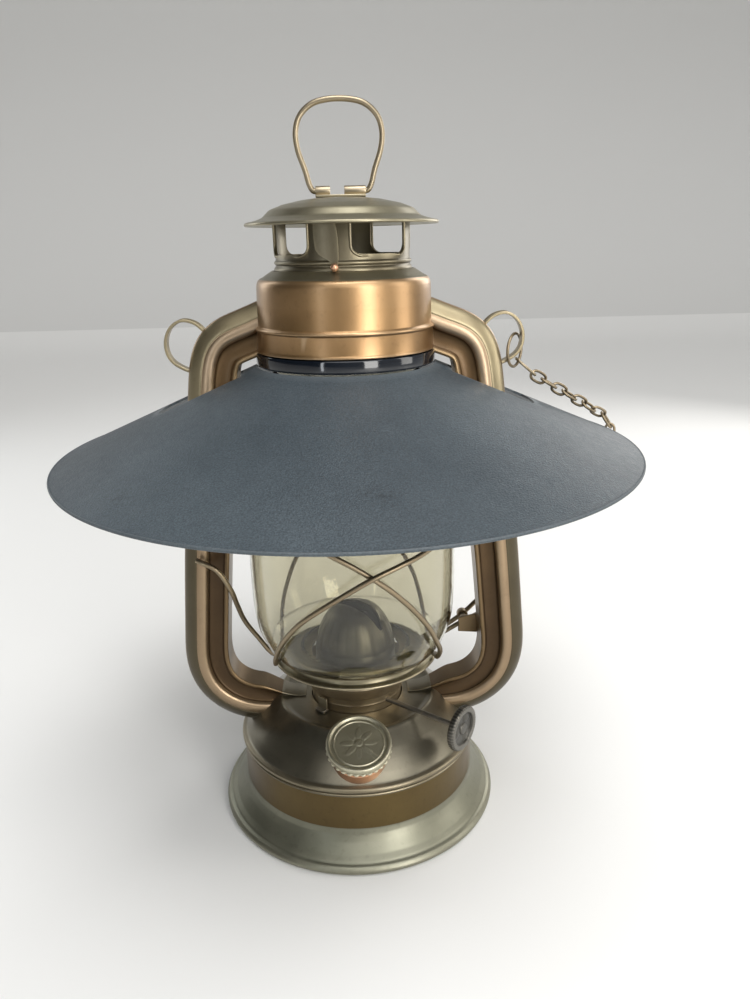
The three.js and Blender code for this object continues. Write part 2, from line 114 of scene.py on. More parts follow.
def floor():
    """Pale sweep: a flat floor that curves up into a plain backdrop well behind the lamp."""
    front, back, curve, top, half = -4, 1.6, 0.9, 3.2, 5
    line = [(front, 0), (back, 0)]
    bend = np.linspace(0.1, math.pi / 2, 16)
    line += [(back + curve * math.sin(a), curve * (1 - math.cos(a))) for a in bend]
    line.append((back + curve, top))
    verts = [(x, y, z - 0.0004) for y, z in line for x in (-half, half)]
    mesh = bpy.data.meshes.new("floor")
    mesh.from_pydata(verts, [], [(2 * i, 2 * i + 1, 2 * i + 3, 2 * i + 2) for i in range(len(line) - 1)])
    mesh.polygons.foreach_set("use_smooth", [True] * len(mesh.polygons))
    mat = bpy.data.materials.new("floor")
    mat.use_nodes = True
    shader = mat.node_tree.nodes["Principled BSDF"]
    shader.inputs["Base Color"].default_value = (0.80, 0.80, 0.79, 1)
    shader.inputs["Roughness"].default_value = 0.85
    mesh.materials.append(mat)
    wall = mat.copy()
    wall.node_tree.nodes["Principled BSDF"].inputs["Base Color"].default_value = (0.68, 0.68, 0.67, 1)
    mesh.materials.append(wall)
    flat_rows = 4  # the flat and the start of the curve keep the floor's tone
    mesh.polygons.foreach_set("material_index", [int(i >= flat_rows) for i in range(len(mesh.polygons))])
    ground = bpy.data.objects.new("floor", mesh)
    bpy.context.scene.collection.objects.link(ground)


# ---- materials ----------------------------------------------------------------------------------
class Shader:
    """One Principled material with the node helpers that every finish here shares."""

    def __init__(self, name, metallic, roughness, **sockets):
        self.material = bpy.data.materials.new(name)
        self.material.use_nodes = True
        self.tree = self.material.node_tree
        self.bsdf = self.tree.nodes["Principled BSDF"]
        self.bsdf.inputs["Metallic"].default_value = metallic
        self.bsdf.inputs["Roughness"].default_value = roughness
        for key, value in sockets.items():
            self.bsdf.inputs[key.replace("_", " ")].default_value = value
        self.place = self.node("ShaderNodeTexCoord").outputs["Object"]

    def node(self, kind, **values):
        made = self.tree.nodes.new(kind)
        for key, value in values.items():
            setattr(made, key, value)
        return made

    def stretch(self, scale):
        mapping = self.node("ShaderNodeMapping")
        mapping.inputs["Scale"].default_value = scale
        self.tree.links.new(self.place, mapping.inputs["Vector"])
        return mapping.outputs[0]

    def noise(self, scale, detail=4, rough=0.55, stretch=None):
        made = self.node("ShaderNodeTexNoise")
        made.inputs["Scale"].default_value = scale
        made.inputs["Detail"].default_value = detail
        made.inputs["Roughness"].default_value = rough
        self.tree.links.new(self.stretch(stretch) if stretch else self.place, made.inputs["Vector"])
        return made.outputs["Fac"]

    def ramp(self, source, stops):
        made = self.node("ShaderNodeValToRGB")
        ends = made.color_ramp.elements
        while len(ends) < len(stops):
            ends.new(0.5)
        for end, (place, colour) in zip(ends, stops):
            end.position = place
            end.color = (*colour, 1) if len(colour) == 3 else colour
        self.tree.links.new(source, made.inputs[0])
        return made.outputs[0]

    def mix(self, factor, first, second, blend="MIX"):
        made = self.node("ShaderNodeMix", data_type="RGBA", blend_type=blend)
        for socket, value in ((made.inputs[0], factor), (made.inputs[6], first), (made.inputs[7], second)):
            if isinstance(value, (int, float)):
                socket.default_value = value
            elif isinstance(value, tuple):
                socket.default_value = (*value, 1)
            else:
                self.tree.links.new(value, socket)
        return made.outputs[2]

    def span(self, source, low, high):
        made = self.node("ShaderNodeMapRange")
        made.inputs["To Min"].default_value = low
        made.inputs["To Max"].default_value = high
        self.tree.links.new(source, made.inputs["Value"])
        return made.outputs[0]

    def height(self, low, high):
        """0 below one height of the lamp and 1 above another, in metres."""
        split = self.node("ShaderNodeSeparateXYZ")
        self.tree.links.new(self.place, split.inputs[0])
        made = self.node("ShaderNodeMapRange")
        made.inputs["From Min"].default_value = low
        made.inputs["From Max"].default_value = high
        self.tree.links.new(split.outputs["Z"], made.inputs["Value"])
        return made.outputs[0]

    def colour(self, source):
        self.tree.links.new(source, self.bsdf.inputs["Base Color"])

    def roughness(self, source):
        self.tree.links.new(source, self.bsdf.inputs["Roughness"])

    def bump(self, source, strength, distance):
        made = self.node("ShaderNodeBump")
        made.inputs["Strength"].default_value = strength
        made.inputs["Distance"].default_value = distance
        self.tree.links.new(source, made.inputs["Height"])
        previous = self.bsdf.inputs["Normal"].links
        if previous:
            self.tree.links.new(previous[0].from_socket, made.inputs["Normal"])
        self.tree.links.new(made.outputs[0], self.bsdf.inputs["Normal"])

    def worn_edge_and_sheen(self, base, edge, strength):
        """Lighter metal where edges stand proud, from the mesh's pointiness: rubbed wear on the lacquers, and
        on the shade's paint a painted highlight along its rim and top edge.
        """
        wear = self.ramp(self.node("ShaderNodeNewGeometry").outputs["Pointiness"],
                         [(0.50, (0, 0, 0)), (0.56, (strength, strength, strength))])
        return self.mix(wear, base, edge)


def lacquer(name, dark, light, edge, roughness, metallic=0.9, coat=0.25, low=1.0):
    """Lacquered sheet metal: cloudy tint from dark to light, dark specks, paler rubbed edges, fine dents.
    Below the shade the colour fades to low times itself: painted shade, for the darker surroundings mirrored
    on the lower stretch."""
    s = Shader(name, metallic, roughness, Coat_Weight=coat, Coat_Roughness=0.28)
    cloud = s.ramp(s.noise(22, 5, 0.6), [(0.32, dark), (0.68, light)])
    fleck = s.ramp(s.noise(420, 2, 0.5), [(0.28, (0.7, 0.68, 0.66)), (0.42, (1, 1, 1))])
    tinted = s.mix(0.35, cloud, fleck, "MULTIPLY")
    rubbed = s.worn_edge_and_sheen(tinted, edge, 0.6)
    # low under 1 paints shade: the colour darkens below the shade's height
    if low < 1:
        painted_shade_below = s.ramp(s.height(0.15, 0.20), [(0.0, (low, low * 0.97, low * 0.9)), (1.0, (1, 1, 1))])
        rubbed = s.mix(1.0, rubbed, painted_shade_below, "MULTIPLY")
    s.colour(rubbed)
    s.roughness(s.span(s.noise(70, 6, 0.65, (1, 1, 0.25)), roughness - 0.1, roughness + 0.16))
    s.bump(s.noise(900, 2, 0.5), 0.05, 0.0004)
    s.bump(s.noise(35, 3, 0.5), 0.10, 0.0012)
    return s.material


def powder_coat():
    """Dark blue-grey textured paint of the shade, with fine leathery grain and paler edges that paint a
    highlight along the rim and the top edge.
    """
    s = Shader("shade_paint", 0.0, 0.5, Specular_IOR_Level=0.4)
    tone = s.ramp(s.noise(11, 6, 0.62), [(0.32, (0.027, 0.039, 0.049)), (0.68, (0.060, 0.078, 0.091))])
    speck = s.ramp(s.noise(1900, 2, 0.5), [(0.35, (0.6, 0.6, 0.62)), (0.7, (1.4, 1.4, 1.4))])
    marks = s.ramp(s.noise(60, 9, 0.78), [(0.29, (0.4, 0.4, 0.4)), (0.38, (1, 1, 1))])
    # the pale edge colour paints a highlight along the shade's rim and top edge
    worn_edge_and_sheen = s.worn_edge_and_sheen(s.mix(0.7, s.mix(0.8, tone, speck, "MULTIPLY"), marks, "MULTIPLY"), (0.20, 0.22, 0.23), 0.5)
    s.colour(worn_edge_and_sheen)
    s.roughness(s.span(s.noise(300, 4, 0.6), 0.40, 0.62))
    cells = s.node("ShaderNodeTexVoronoi")
    cells.inputs["Scale"].default_value = 1500
    s.tree.links.new(s.place, cells.inputs["Vector"])
    s.bump(cells.outputs["Distance"], 0.30, 0.0003)
    s.bump(s.noise(1100, 3, 0.6), 0.30, 0.0003)
    s.bump(s.noise(28, 3, 0.5), 0.08, 0.002)
    return s.material


def enamel():
    """Gloss black enamel with a faint blue cast."""
    s = Shader("black_enamel", 0.0, 0.08, Coat_Weight=0.4, Coat_Roughness=0.03)
    s.colour(s.ramp(s.noise(60, 3), [(0.3, (0.004, 0.006, 0.010)), (0.7, (0.008, 0.011, 0.017))]))
    s.roughness(s.span(s.noise(200, 4), 0.05, 0.14))
    return s.material


def lamp_glass():
    """Clear blown glass with a soft waviness, tinted a slight yellow-grey that darkens what shows through it:
    painted shade for the dim space under the shade.
    """
    s = Shader("lamp_glass", 0.0, 0.015, IOR=1.47, Transmission_Weight=1.0)
    # the tint paints shade onto what is seen through the globe
    s.colour(s.ramp(s.noise(16, 2), [(0.3, (0.70, 0.675, 0.56)), (0.7, (0.79, 0.77, 0.67))]))
    s.bump(s.noise(26, 2, 0.4), 0.06, 0.001)
    return s.material


def woven_wick():
    """Cotton ribbon, charred at the burning end."""
    s = Shader("cotton_wick", 0.0, 0.95)
    cotton = s.ramp(s.noise(500, 4), [(0.3, (0.62, 0.56, 0.44)), (0.7, (0.85, 0.80, 0.68))])
    s.colour(s.mix(s.height(0.078, 0.084), cotton, (0.012, 0.011, 0.010)))
    weave = s.node("ShaderNodeTexWave", wave_type="BANDS", bands_direction="DIAGONAL")
    weave.inputs["Scale"].default_value = 450
    s.tree.links.new(s.place, weave.inputs["Vector"])
    s.bump(weave.outputs["Fac"], 0.6, 0.0005)
    return s.material


MATERIALS = {
    "hood": lacquer("copper_lacquer", (0.29, 0.165, 0.065), (0.40, 0.24, 0.105), (0.66, 0.48, 0.30),
                    0.32, coat=0.6),
    "copper": lacquer("neck_copper", (0.50, 0.24, 0.13), (0.66, 0.35, 0.20), (0.85, 0.60, 0.42), 0.3),
    "olive": lacquer("olive_metal", (0.20, 0.175, 0.115), (0.29, 0.26, 0.175), (0.52, 0.45, 0.31), 0.34),
    "cap": lacquer("cap_metal", (0.40, 0.375, 0.27), (0.52, 0.49, 0.365), (0.70, 0.65, 0.50), 0.36),
    "roof": lacquer("roof_metal", (0.21, 0.19, 0.13), (0.29, 0.265, 0.185), (0.50, 0.43, 0.28), 0.36),
    "vent": lacquer("vent_metal", (0.115, 0.098, 0.062), (0.18, 0.155, 0.102), (0.44, 0.38, 0.25), 0.36),
    "soot": lacquer("soot", (0.006, 0.006, 0.006), (0.014, 0.013, 0.012), (0.03, 0.03, 0.03),
                    0.7, 0.2, coat=0.0),
    "skirt": lacquer("skirt_metal", (0.17, 0.17, 0.125), (0.25, 0.245, 0.185), (0.42, 0.40, 0.31), 0.42),
    # band and rim: darker brown copies of the skirt's paint, painted reflection of a brown wooden floor
    "band": lacquer("band_painted_reflection", (0.085, 0.055, 0.018), (0.135, 0.092, 0.030), (0.3, 0.22, 0.1), 0.38),
    "rim": lacquer("rim_painted_reflection", (0.13, 0.11, 0.07), (0.20, 0.17, 0.115), (0.36, 0.31, 0.21), 0.36),
    "slate": lacquer("tank_metal", (0.15, 0.135, 0.10), (0.235, 0.215, 0.16), (0.45, 0.40, 0.29), 0.32),
    "dark": lacquer("dark_metal", (0.10, 0.095, 0.08), (0.17, 0.16, 0.135), (0.36, 0.33, 0.28), 0.4),
    "wheel": lacquer("wheel_metal", (0.06, 0.058, 0.05), (0.11, 0.105, 0.092), (0.28, 0.26, 0.22), 0.4),
    "bronze": lacquer("socket_bronze", (0.33, 0.26, 0.16), (0.46, 0.37, 0.24), (0.62, 0.52, 0.38), 0.36),
    # The tube strips are copies of one lacquer: the paler rib is a painted highlight, the darker recess
    # painted shade, and low paints shade below the shade
    "tube_face": lacquer("tube_gold", (0.25, 0.205, 0.12), (0.35, 0.295, 0.18), (0.50, 0.42, 0.28),
                         0.34, low=0.26),
    "tube_rib_painted_highlight": lacquer("tube_rib_painted_highlight", (0.34, 0.24, 0.15), (0.45, 0.33, 0.215), (0.62, 0.49, 0.35),
                        0.34, low=0.72),
    "tube_edge": lacquer("tube_copper", (0.17, 0.105, 0.045), (0.26, 0.17, 0.085), (0.45, 0.34, 0.20),
                         0.34, low=0.6),
    "recess": lacquer("tube_recess_painted_shade", (0.09, 0.052, 0.022), (0.15, 0.092, 0.042), (0.3, 0.2, 0.1),
                      0.42, low=0.55),
    "wire": lacquer("guard_wire", (0.13, 0.10, 0.06), (0.21, 0.165, 0.10), (0.40, 0.32, 0.21), 0.36),
    "steel": lacquer("pale_wire", (0.19, 0.15, 0.09), (0.28, 0.225, 0.14), (0.50, 0.42, 0.30), 0.3),
    "shade": powder_coat(),
    "black": enamel(),
    "glass": lamp_glass(),
    "wick": woven_wick(),
}


# ---- shape helpers ------------------------------------------------------------------------------
def piece(name, body, slot, verts, faces, mats, zones=None, replaces=(), sharp=SHARP):
    """A mesh object from millimetre points; zones gives each face its material's place in mats."""
    mesh = bpy.data.meshes.new(name)
    mesh.from_pydata([tuple(v) for v in np.asarray(verts) * MM], [], faces)
    for mat in mats:
        mesh.materials.append(MATERIALS[mat])
    if zones is not None:
        mesh.polygons.foreach_set("material_index", zones)
    work = bmesh.new()
    work.from_mesh(mesh)
    bmesh.ops.remove_doubles(work, verts=work.verts, dist=1e-7)
    bmesh.ops.dissolve_degenerate(work, edges=work.edges, dist=1e-7)
    bmesh.ops.recalc_face_normals(work, faces=work.faces)
    work.to_mesh(mesh)
    work.free()
    mesh.polygons.foreach_set("use_smooth", [True] * len(mesh.polygons))
    mesh.set_sharp_from_angle(angle=math.radians(sharp))
    made = bpy.data.objects.new(name, mesh)
    bpy.context.scene.collection.objects.link(made)
    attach(made, body)
    if replaces:
        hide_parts(*replaces)
    return made


def rounded(points, radius, closed=True, steps=3):
    """The same outline with each corner eased by a short curve."""
    pts = [np.array(p, float) for p in points]
    count, made = len(pts), []
    for i, p in enumerate(pts):
        if not closed and i in (0, count - 1):
            made.append(p)
            continue
        a, b = pts[i - 1] - p, pts[(i + 1) % count] - p
        la, lb = np.linalg.norm(a), np.linalg.norm(b)
        start, end = p + a / la * min(radius, la * 0.45), p + b / lb * min(radius, lb * 0.45)
        for t in np.linspace(0, 1, steps):
            made.append((1 - t) ** 2 * start + 2 * t * (1 - t) * p + t * t * end)
    return made


def grid_faces(rows, cols, wrap_rows, wrap_cols):
    """The quads between the rows of a point grid, joined up at the ends where it wraps."""
    faces = []
    for i in range(rows if wrap_rows else rows - 1):
        for j in range(cols if wrap_cols else cols - 1):
            a, b = i * cols + j, i * cols + (j + 1) % cols
            c, d = (i + 1) % rows * cols + (j + 1) % cols, (i + 1) % rows * cols + j
            faces.append((a, b, c, d))
    return faces


def turned(name, body, slot, profile, mats, ease=0.35, seg=ROUND, shape=None, zone=None, place=None, **rest):
    """A turned piece from its (radius, height) outline, which closes on itself or ends on the axis.
    shape(radius, height, angle) can bend the radius; zone(radius, height) picks a material."""
    open_ends = profile[0][0] == 0
    outline = rounded(profile, ease, closed=not open_ends)
    angles = np.linspace(0, 2 * math.pi, seg, endpoint=False)
    verts = []
    for r, z in outline:
        for a in angles:
            rr, zz = shape(r, z, a) if shape else (r, z)
            verts.append((rr * math.sin(a), -rr * math.cos(a), zz))
    faces = grid_faces(len(outline), seg, not open_ends, True)
    zones = [zone(*np.mean([outline[v // seg] for v in f], axis=0)) for f in faces] if zone else None
    verts = np.array(verts)
    if place is not None:
        verts = np.array([place @ Vector(v) for v in verts])
    return piece(name, body, slot, verts, faces, mats, zones, **rest)


def smooth_path(points, per_span, closed=False):
    """Centripetal Catmull-Rom curve through the points."""
    p = [np.array(q, float) for q in points]
    n = len(p)
    at = (lambda i: p[i % n]) if closed else (
        lambda i: 2 * p[0] - p[1] if i < 0 else 2 * p[-1] - p[-2] if i >= n else p[i])
    made = []
    for i in range(n if closed else n - 1):
        a, b, c, d = at(i - 1), at(i), at(i + 1), at(i + 2)
        t0, t1, t2 = (max(np.linalg.norm(v) ** 0.5, 1e-4) for v in (b - a, c - b, d - c))
        m1 = ((b - a) / t0 - (c - a) / (t0 + t1) + (c - b) / t1) * t1
        m2 = ((c - b) / t1 - (d - b) / (t1 + t2) + (d - c) / t2) * t1
        for k in range(per_span):
            t = k / per_span
            made.append(b + m1 * t + (-3 * b + 3 * c - 2 * m1 - m2) * t**2 + (2 * b - 2 * c + m1 + m2) * t**3)
    if not closed:
        made.append(p[-1])
    return np.array(made)


def swept(name, body, slot, section, path, mats, side=None, closed=False, zone=None, turn=False, **rest):
    """A section of (outward, sideways) points, fixed or given for each point of the path, carried along it
    without twisting. zone(point, column) picks a material."""
    tangents = np.gradient(path, axis=0) if not closed else np.roll(path, -1, 0) - np.roll(path, 1, 0)
    tangents /= np.linalg.norm(tangents, axis=1)[:, None]
    across = np.array(side if side is not None else np.cross(tangents[0], (0.31, 0.87, 0.38)), float)
    verts = []
    for p, t in zip(path, tangents):
        across = across - np.dot(across, t) * t
        across /= np.linalg.norm(across)
        out = np.cross(t, across)
        verts += [p + u * out + v * across for u, v in (section(p) if callable(section) else section)]
    cols = len(verts) // len(path)
    faces = grid_faces(len(path), cols, closed, True)
    zones = [zone(path[f[0] // cols], f[0] % cols) for f in faces] if zone else None
    if not closed:
        faces += [tuple(range(cols))[::-1], tuple(range(len(verts) - cols, len(verts)))]
        zones = zones + [0, 0] if zones else None
    verts = np.array(verts) * ((-1, -1, 1) if turn else (1, 1, 1))
    return piece(name, body, slot, verts, faces, mats, zones, **rest)


def circle(radius, sides=14):
    angles = np.linspace(0, 2 * math.pi, sides, endpoint=False)
    return [(radius * math.cos(a), radius * math.sin(a)) for a in angles]


def wire(name, body, points, diameter, mat="wire", slot="brown", per_span=5, closed=False, turn=False,
         **rest):
    """Round wire along a smooth curve through the points."""
    path = smooth_path(points, per_span, closed)
    return swept(name, body, slot, circle(diameter / 2), path, [mat], closed=closed, turn=turn, **rest)


def cut(made, *cutters):
    """Boolean cuts, applied to the mesh."""
    for cutter in cutters:
        step = made.modifiers.new("cut", "BOOLEAN")
        step.operation, step.solver, step.object = "DIFFERENCE", "EXACT", cutter
    with bpy.context.temp_override(object=made, active_object=made, selected_objects=[made]):
        for step in list(made.modifiers):
            bpy.ops.object.modifier_apply(modifier=step.name)
    made.data.polygons.foreach_set("use_smooth", [True] * len(made.data.polygons))
    made.data.set_sharp_from_angle(angle=math.radians(SHARP))
    for cutter in set(cutters):
        bpy.data.objects.remove(cutter)


def block(outline, z0, z1, turn=0, tilt=None):
    """A prism for cutting, from a millimetre outline; tilt stands it up to face outward."""
    work = bmesh.new()
    low = [work.verts.new((x, y, z0)) for x, y in outline]
    high = [work.verts.new((x, y, z1)) for x, y in outline]
    count = len(outline)
    work.faces.new(low[::-1])
    work.faces.new(high)
    for i in range(count):
        work.faces.new((low[i], low[(i + 1) % count], high[(i + 1) % count], high[i]))
    bmesh.ops.recalc_face_normals(work, faces=work.faces)
    mesh = bpy.data.meshes.new("cutter")
    place = Matrix.Rotation(math.radians(turn), 4, "Z") @ (tilt or Matrix.Identity(4))
    work.transform(Matrix.Scale(MM, 4) @ place)
    work.to_mesh(mesh)
    work.free()
    made = bpy.data.objects.new("cutter", mesh)
    bpy.context.scene.collection.objects.link(made)
    return made


def shape_block(name, body, slot, mat, outline, z0, z1, turn=0, tilt=None, ease=0.25, **rest):
    """A small solid prism with eased edges."""
    tool = block(outline, z0, z1, turn, tilt)
    verts = [tuple(v.co / MM) for v in tool.data.vertices]
    faces = [tuple(p.vertices) for p in tool.data.polygons]
    bpy.data.objects.remove(tool)
    made = piece(name, body, slot, verts, faces, [mat], **rest)
    bevel(made, ease)
    return made


def bevel(made, width):
    """Eases the sharp edges by a width in millimetres."""
    step = made.modifiers.new("bevel", "BEVEL")
    step.width, step.segments, step.limit_method = width * MM, 2, "ANGLE"


# ---- tank ---------------------------------------------------------------------------------------
def tank():
    """Foot and skirt, brown band under a rolled seam, stepped top, and the burner's clip. The band's and the
    seam's brown is painted reflection on the skirt's same paint.
    """
    band = lambda r, z: 0 if r <= 52.5 or z <= 15.6 else 2 if z > 31.4 else 1
    turned("tank_base", "lamp_body", "olive", [
        (60.6, 0), (61.8, 0), (63.1, 1), (63.3, 2.4), (62.2, 3.9), (60.8, 4.4), (60.3, 5.0), (58.3, 6.6),
        (55.2, 10.4), (53.6, 13), (53, 15.2), (53, 15.6), (53, 31.4), (53.1, 31.8), (53.7, 32.3), (53, 33),
        (52, 33.1), (52, 15.4), (54.2, 10.2), (57.4, 6), (60, 3.4), (61.9, 2.4), (61.4, 1.2),
    ], ["skirt", "band", "rim"], ease=0.5, zone=band, replaces=["tank_lower_shell"])
    turned("tank_bottom", "lamp_body", "slate", [
        (0, 8), (30, 8), (50, 6.4), (51.7, 7.6), (51.7, 17), (50.8, 17), (50.8, 7.8), (49.6, 7.4), (30, 9),
        (0, 9),
    ], ["dark"], replaces=["tank_floor"])
    turned("tank_top", "lamp_body", "slate", [
        (50.7, 30), (51.7, 30), (51.7, 33.5), (53.7, 33.5), (54.1, 34.2), (53.9, 35.3), (52.6, 36.0),
        (51.8, 36.5), (49.2, 39.4), (46, 42.7), (43, 45.5), (40, 47.9), (37.4, 49.9), (36.2, 50.9),
        (35.2, 51.4), (34, 50.8), (32.6, 50.3), (21, 50), (21, 49.1), (35.2, 50.1), (39.3, 46.9),
        (45.2, 42), (50.7, 35.9),
    ], ["slate", "rim"], ease=0.6, zone=lambda r, z: 1 if r > 52.2 else 0, replaces=["tank_upper_shell"])
    foot = [(-2.6, -25.6), (2.6, -25.6), (2.6, -22.2), (-2.6, -22.2)]
    shape_block("clip_foot", "lamp_body", "steel", "dark", foot, 50.5, 51.6, turn=-42,
                replaces=["burner_clip"])
    upright = [(-2.6, -23.2), (2.6, -23.2), (2.2, -22.2), (-2.2, -22.2)]
    shape_block("clip_tongue", "lamp_body", "steel", "olive", upright, 51.0, 56.5, turn=-42)


# ---- filler -------------------------------------------------------------------------------------
FILLER = Matrix.Translation((0, -44.7, 52.2)) @ Matrix.Rotation(math.radians(21), 4, "X")


def filler():
    """Copper neck and knurled screw cap, tilted forward on the tank's shoulder."""
    turned("fuel_neck", "lamp_body", "copper", [
        (11, -13.5), (11.9, -13.5), (11.9, -7.2), (12.15, -6.9), (11.9, -6.6), (11.9, -4.4), (12.2, -3.9),
        (12.2, -3.3), (11.9, -2.9), (11, -2.9),
    ], ["copper"], ease=0.2, place=FILLER, replaces=["filler_neck"])

    def knurl(r, z, a):
        depth = 0.75 if 13.3 < r and z < -2.4 else 0
        return r - depth * (0.5 + 0.5 * math.cos(30 * a)) ** 2, z

    turned("fuel_cap_shell", "fuel_cap", "olive", [
        (0, -1.5), (12.6, -1.5), (12.6, -4), (13.5, -4.05), (13.95, -3.7), (13.9, -3.2), (13.55, -2.9),
        (13.7, -2.2), (13.7, -0.7), (13.4, -0.1), (12.9, 0.05), (12.3, 0), (11.9, -0.45), (11.7, -0.7),
        (10.9, -0.7), (10.7, -0.45), (10.3, -0.45), (10.1, -0.7), (0, -0.7),
    ], ["cap"], ease=0.25, seg=240, shape=knurl, place=FILLER, sharp=40, replaces=["fuel_cap"])
    rosette()


def rosette():
    """Raised rosette in the cap's face: eight leaves round a small boss."""
    rows, cols = 26, 128
    verts = []
    for i in range(rows):
        r = 8.6 * i / (rows - 1)
        for j in range(cols):
            a = 2 * math.pi * j / cols
            leaf = abs(math.cos(4 * a)) ** 0.7 * 8.0
            height = 0.15 * min(1, max(0, (leaf - r) * 0.9)) * min(1, max(0, (r - 2.1) * 1.4))
            boss = 0.25 * min(1, max(0, (1.8 - r) * 2))
            verts.append(tuple(FILLER @ Vector((r * math.sin(a), -r * math.cos(a), -0.72 + height + boss))))
    piece("cap_rosette", "fuel_cap", "olive", verts, grid_faces(rows, cols, False, True), ["cap"], sharp=60)


# ---- burner -------------------------------------------------------------------------------------
WICK_ANGLE = math.radians(-39)
ALONG = np.array([math.cos(WICK_ANGLE), math.sin(WICK_ANGLE), 0])
SHAFT_FOOT = np.array([ALONG[1], -ALONG[0], 0]) * 4.2 + (0, 0, 54)


def burner():
    """Threaded socket, slotted dome, ribbon wick and winder."""
    turned("burner_socket_shell", "lamp_body", "slate", [
        (19.7, 46.5), (20.5, 46.5), (20.65, 51), (20.9, 53.4), (21.25, 53.8), (21.1, 54.3), (21.5, 57.3),
        (22.2, 57.8), (22.6, 58.4), (24.4, 61.8), (26, 64.6), (25.7, 65), (25.2, 65.1), (21.3, 58.6),
        (19.8, 51),
    ], ["bronze"], ease=0.3, replaces=["burner_socket"])

    def flute(r, z, a):
        if 77 < z < 90 and r > 11:
            return r - 0.16 * (0.5 + 0.5 * math.cos(24 * a)) ** 2 * min(1, (z - 77) / 2, (90 - z) / 2), z
        return r, z

    dome = lambda z: 17.6 * math.sqrt(max(0, 1 - ((max(z, 74.5) - 74.5) / 21.4) ** 2))
    inside = lambda r, z: 1 if r < dome(z) - 0.5 and z < 92.5 else 0
    bulge = [(dome(z), z) for z in np.linspace(75.6, 92, 16)]
    cone = turned("burner_cone_shell", "lamp_body", "slate", [
        (18.1, 66.5), (18.8, 66.5), (18.3, 70), (18.3, 73.4), (18.1, 74.4), *bulge, (7.6, 93.3), (4, 94.2),
        (0.6, 94.4), (0.6, 93.7), (6.6, 92.6), (10.8, 90), (13.9, 84.6), (16.4, 76.8), (17.4, 73.4),
    ], ["dark", "soot"], ease=0.3, seg=240, shape=flute, sharp=40, zone=inside, replaces=["burner_cone"])
    slot = [(-8, -2.4), (-4, -3.2), (4, -3.6), (10, -3.2), (13.4, -2.2), (15.2, -0.9), (15.2, 0.9),
            (13.4, 2.2),
            (10, 3.2), (4, 3.6), (-4, 3.2), (-8, 2.4)]
    cut(cone, block(slot, 82.5, 97, turn=-39))
    ribbon = [(-6, -0.9), (6, -0.9), (6, 0.9), (-6, 0.9)]
    shape_block("wick_ribbon", "wick", "wick", "wick", ribbon, 16, 91.5, turn=-39, ease=0.4,
                replaces=["wick"])
    shaft = [SHAFT_FOOT + ALONG * s for s in (-9, 15, 40, 57.3)]
    wire("winder_shaft", "wick_winder", shaft, 2.2, "dark", replaces=["wick_shaft"])
    winder_wheel()


def winder_wheel():
    """Pressed wheel with a thick milled rim and six raised lobes."""
    hub = SHAFT_FOOT + ALONG * 59.2
    outward = Matrix.Rotation(WICK_ANGLE, 4, "Z") @ Matrix.Rotation(math.radians(90), 4, "Y")
    place = Matrix.Translation(hub) @ outward

    def mill(r, z, a):
        return r - (0.22 * (0.5 + 0.5 * math.cos(44 * a)) if r > 9.2 else 0), z

    def lobes(r, z, a):
        if z > 0.2 and 2.6 < r < 6.9:
            lift = max(0, math.cos(3 * a)) ** 0.8 * math.sin(math.pi * (r - 2.6) / 4.3)
            return r, z + 0.75 * lift
        return mill(r, z, a)

    face = [(2.6 + 0.43 * k, 0.5) for k in range(11)]
    turned("winder_wheel", "wick_winder", "slate", [
        (0, -1.5), (3, -1.5), (3, -0.9), (7, -0.9), (7.2, -1.5), (9.3, -1.5), (9.75, -0.8), (9.75, 0.8),
        (9.3, 1.5), (7.3, 1.5), (7.0, 0.7), *face[::-1], (2.3, 1.1), (1.9, 1.35), (0, 1.35),
    ], ["wheel"], ease=0.22, seg=176, shape=lobes, sharp=45, place=place, replaces=["wick_wheel"])


# ---- globe carrier ------------------------------------------------------------------------------
def lens_radius(radius, offset, angle):
    """Distance from the axis to a two-arc lens outline in one direction."""
    c, s = math.sin(angle), abs(math.cos(angle))
    return -offset * s + math.sqrt(radius**2 - (offset * c) ** 2)


def globe_plate():
    """Lens-shaped plate with a rolled rim, round a hole that clears the burner's dome."""
    top = lambda shrink: (lambda a: lens_radius(34.1 - shrink, 8.6, a))
    brim = lambda shrink: (lambda a: lens_radius(38.9 - shrink, 10.7, a))
    hole = lambda a: 20.2
    rings = [
        (hole, 71.1), (top(1.0), 71.0), (top(1.0), 66.3), (brim(0.5), 66.0), (brim(0.1), 66.2),
        (brim(0), 66.6), (brim(0.2), 67.0), (brim(0.8), 67.2), (top(-0.5), 67.3), (top(0), 67.8),
        (top(0.2), 69.4), (top(0.1), 70.4), (top(-0.3), 71.2), (top(-0.3), 72.6), (top(0), 73.2),
        (top(0.5), 73.6), (top(1.1), 73.5), (top(1.6), 72.9), (top(1.8), 72.3), (top(2.6), 72.1),
        (hole, 72.1), (lambda a: 20.1, 71.6),
    ]
    seg = 192
    verts = []
    for reach, z in rings:
        for j in range(seg):
            a = 2 * math.pi * j / seg
            verts.append((reach(a) * math.sin(a), -reach(a) * math.cos(a), z))
    piece("globe_seat", "globe_carrier", "slate", verts, grid_faces(len(rings), seg, True, True), ["olive"],
          replaces=["globe_plate"], sharp=50)


def globe():
    """Blown globe, widest in its lower half, with an open neck."""
    outer = [(25.2, 74), (33.6, 75), (38.4, 77.6), (41.2, 83), (43.2, 88.6), (44.3, 95), (44.8, 106),
             (44.8, 120),
             (44.4, 136), (43.4, 150), (41.8, 160), (39.6, 170), (36.9, 178), (34.4, 184.4), (32.4, 190),
             (30, 200)]
    skin = smooth_path([(r, 0, z) for r, z in outer], 4)[:, [0, 2]]
    inner = [(r - 1.7, z + (0.9 if z < 80 else 0)) for r, z in skin][::-1]
    turned("globe_glass", "globe_carrier", "glass", [*map(tuple, skin), *map(tuple, inner)], ["glass"],
           ease=0.1,
           seg=160, sharp=60, replaces=["globe"])


